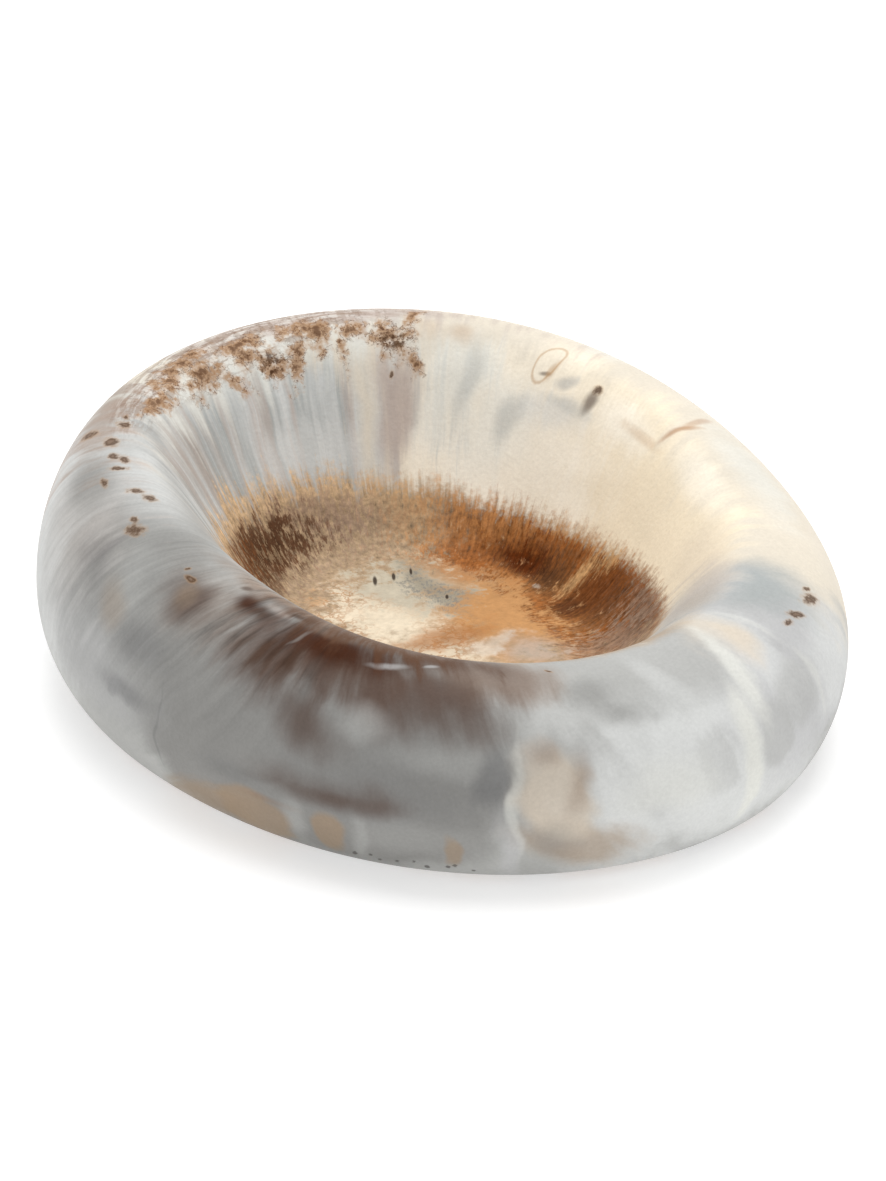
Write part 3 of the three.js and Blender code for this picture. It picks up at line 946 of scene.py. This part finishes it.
pool = wire.veil(pool, INK, wire.ease(specks, 1.4, 0.6), 0.9)
tell("bed")

# %% Lay the pool in the well
reach = wire.calc("MULTIPLY_ADD", bristle, 1.2, tuft)
reach = wire.calc("MULTIPLY", reach, wire.calc("MULTIPLY_ADD", swing, -0.035, 0.06))
reach = wire.calc("MULTIPLY", reach, wire.calc("MULTIPLY_ADD", wire.ease(true_bearing, 45, 90), -0.6, 1))
ragged = wire.calc("ADD", reach, wire.calc("MULTIPLY_ADD", crumb, 0.03, depth))
figure = wire.blend(figure, pool, wire.ease(ragged, -0.06, 0.05))
tell("pool")

# %% [markdown]
# The finish
#
# The underside was ground flat on a belt, so it shows the mixed body of the casting under fine scratches.
# Along the edge of the base a few bubbles were cut open and left small dark pits. The rest was rubbed to
# an even satin that still shows a faint grain. All this is too fine to model, so colour, roughness and
# bump share the same noises.

# %% Grind the base
PITS = (-153, -150.6, -149.8, -147, -145.3, -143.1, -140.5, -139.4, -137)
PIT_RUNS = (1.12, 1.2, 1.16)
PIT_SIZE = (0.3, 0.025)
SCRATCH_TURN = math.radians(25)
SCRATCH_SCALE = (3000, 90, 1)

places = zip(PITS, PIT_RUNS * len(PITS))
pits = nearest(on_dish, [(place_of_pit, PIT_SIZE, 0) for place_of_pit in places])
pitted = wire.ease(wire.calc("MULTIPLY_ADD", crumb, 0.8, pits), 1.4, 0.7)
figure = wire.veil(figure, INK, pitted, 0.6)
scratch_map = wire.node("ShaderNodeMapping")
scratch_map.inputs["Rotation"].default_value = (0, 0, SCRATCH_TURN)
scratch_map.inputs["Scale"].default_value = SCRATCH_SCALE
wire.feed(scratch_map.inputs["Vector"], place)
scratch = wire.noise(scratch_map.outputs[0], 1, 3, 0.6)
ground = wire.blend(MIST, LILAC, wire.ease(billow, -0.4, 0.4))
ground = wire.veil(ground, PALE, wire.ease(curd, -0.2, 0.5), 0.3)
ground = wire.shade(ground, scratch, 0.2)
ground_share = wire.ease(true_run, BASE_EDGE, 0.98)
figure = wire.blend(figure, ground, ground_share)
print("base:", len(PITS), "pits at its edge")

# %% Finish the resin
SATIN_ROUGHNESS = 0.46
ROUGHER_WHERE_GROUND = 0.3
RESIN_SHINE = 0.04
BUMP_STRENGTH = 0.12
BUMP_DISTANCE = 0.2 * MM

figure = wire.shade(figure, billow, 0.07)
figure = wire.shade(figure, grain, 0.05)
wire.feed(resin_shader.inputs["Base Color"], figure)
roughness = wire.calc("MULTIPLY_ADD", curd, 0.08, SATIN_ROUGHNESS)
roughness = wire.calc("MULTIPLY_ADD", ground_share, ROUGHER_WHERE_GROUND, roughness)
wire.feed(resin_shader.inputs["Roughness"], roughness)
resin_shader.inputs["Specular IOR Level"].default_value = RESIN_SHINE
relief = wire.calc("MULTIPLY_ADD", pitted, -2.0, wire.noise(place, 900, 3, 0.6))
relief = wire.calc("MULTIPLY_ADD", wire.calc("MULTIPLY", scratch, ground_share), 1.5, relief)
bump = wire.node("ShaderNodeBump")
bump.inputs["Strength"].default_value = BUMP_STRENGTH
bump.inputs["Distance"].default_value = BUMP_DISTANCE
wire.feed(bump.inputs["Height"], relief)
wire.feed(resin_shader.inputs["Normal"], bump.outputs["Normal"])
dish.data.materials.append(resin)
print("resin:", len(resin_tree.nodes), "nodes")

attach(dish, "root")
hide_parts("dish_casting")

# %% [markdown]
# The bumpers
#
# Four clear polyurethane bumpers keep the dish off the table. They are plain moulded discs, so the CAD
# solids stay and only get a material: see-through, faintly cloudy, with a skin that has picked up a
# little dust.

# %% Clear the bumpers
CLEAR = pigment(214, 220, 218)
CLOUDY = pigment(232, 234, 228)
CLEAR_TRANSMISSION = 0.6
CLEAR_IOR = 1.5
CLEAR_ROUGHNESS = 0.18
ROUGHER_WITH_DUST = 0.4

clear, clear_tree, clear_shader = principled("clear_polyurethane")
wire = Wiring(clear_tree)
place = wire.node("ShaderNodeTexCoord").outputs["Object"]
cloud = wire.noise(place, 400, 3, 0.6)
dust = wire.ease(wire.noise(place, 1800, 3, 0.7), 0.05, 0.4)
tint = wire.blend(CLEAR, CLOUDY, wire.ease(cloud, -0.3, 0.3))
wire.feed(clear_shader.inputs["Base Color"], wire.veil(tint, CREAM, dust, 0.2))
roughness = wire.calc("MULTIPLY_ADD", dust, ROUGHER_WITH_DUST, CLEAR_ROUGHNESS)
wire.feed(clear_shader.inputs["Roughness"], roughness)
clear_shader.inputs["Transmission Weight"].default_value = CLEAR_TRANSMISSION
clear_shader.inputs["IOR"].default_value = CLEAR_IOR
bumpers = [node for name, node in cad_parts.items() if name.startswith("bumper_")]
for bumper in bumpers:
    for slot in bumper.material_slots:
        slot.material = clear
print("bumpers:", len(bumpers))
